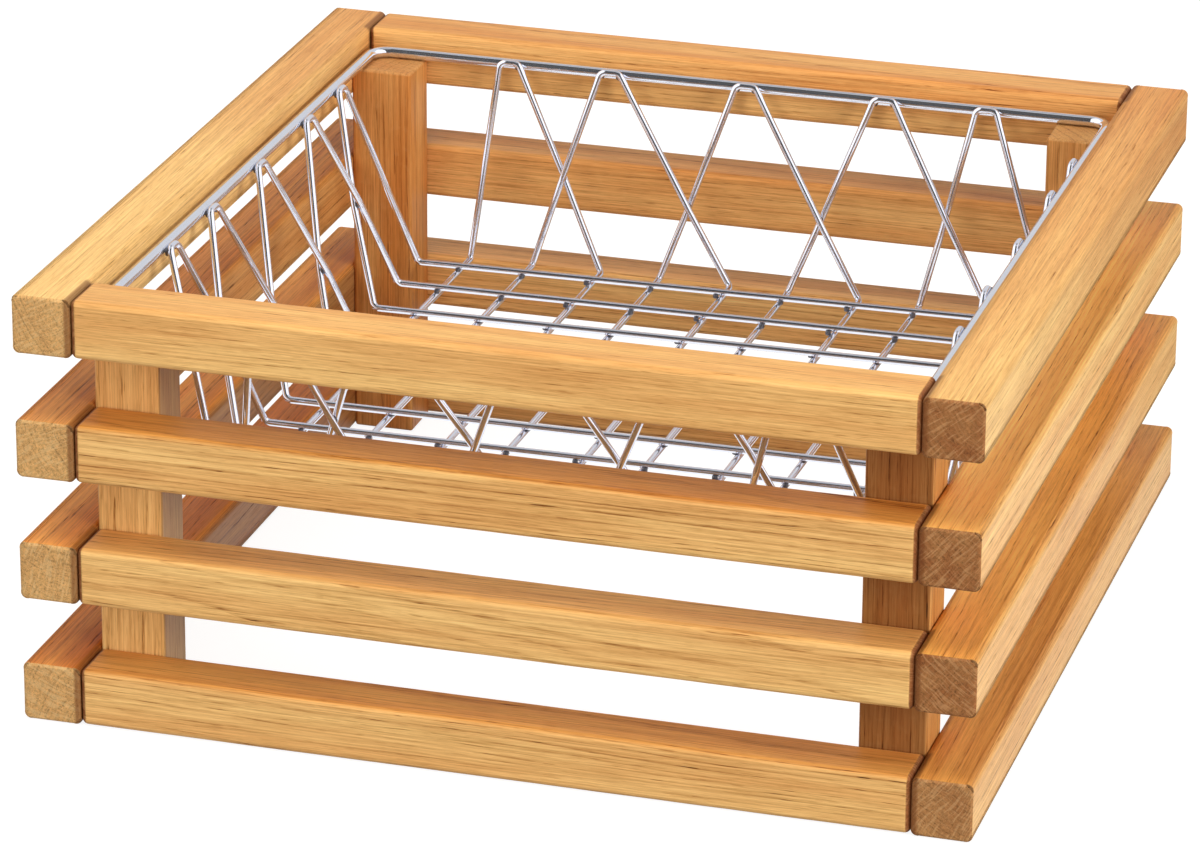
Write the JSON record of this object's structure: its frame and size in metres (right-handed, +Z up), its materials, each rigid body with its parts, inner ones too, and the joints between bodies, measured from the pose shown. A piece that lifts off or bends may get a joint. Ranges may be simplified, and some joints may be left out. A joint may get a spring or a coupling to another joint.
{
  "type": "wire basket",
  "caption": "Square crate of oak slats and corner posts with an open chromed wire basket hanging inside it that lifts out.",
  "frame": {"origin": "on the ground under the middle of the crate", "axes": "+Z up, +Y towards the back, +X towards the right side; the side slats run along Y over the full depth, the front and back slats fit between them"},
  "size_m": [0.4, 0.4, 0.186],
  "materials": {
    "oak": "oiled, satin",
    "beech": "raw",
    "chrome": "polished"
  },
  "bodies": {
    "crate": {"slat_left_1": "oak", "slat_left_2": "oak", "slat_left_3": "oak", "slat_left_4": "oak", "slat_right_1": "oak", "slat_right_2": "oak", "slat_right_3": "oak", "slat_right_4": "oak", "slat_front_1": "oak", "slat_front_2": "oak", "slat_front_3": "oak", "slat_front_4": "oak", "slat_back_1": "oak", "slat_back_2": "oak", "slat_back_3": "oak", "slat_back_4": "oak", "post_front_left": "oak", "post_front_right": "oak", "post_back_left": "oak", "post_back_right": "oak", "dowel_front_left_1": "beech", "dowel_front_left_2": "beech", "dowel_front_left_3": "beech", "dowel_front_left_4": "beech", "dowel_front_right_1": "beech", "dowel_front_right_2": "beech", "dowel_front_right_3": "beech", "dowel_front_right_4": "beech", "dowel_back_left_1": "beech", "dowel_back_left_2": "beech", "dowel_back_left_3": "beech", "dowel_back_left_4": "beech", "dowel_back_right_1": "beech", "dowel_back_right_2": "beech", "dowel_back_right_3": "beech", "dowel_back_right_4": "beech"},
    "basket": {"basket_rim": "chrome", "basket_loop_y_1": "chrome", "basket_loop_y_2": "chrome", "basket_loop_y_3": "chrome", "basket_loop_y_4": "chrome", "basket_loop_y_5": "chrome", "basket_loop_x_1": "chrome", "basket_loop_x_2": "chrome", "basket_loop_x_3": "chrome", "basket_loop_x_4": "chrome", "basket_loop_x_5": "chrome"}
  },
  "joints": [
    {"name": "basket_lift", "type": "slide", "parent": "crate", "child": "basket", "axis": [0, 0, 1], "range_m": [0, 0.12]}
  ]
}
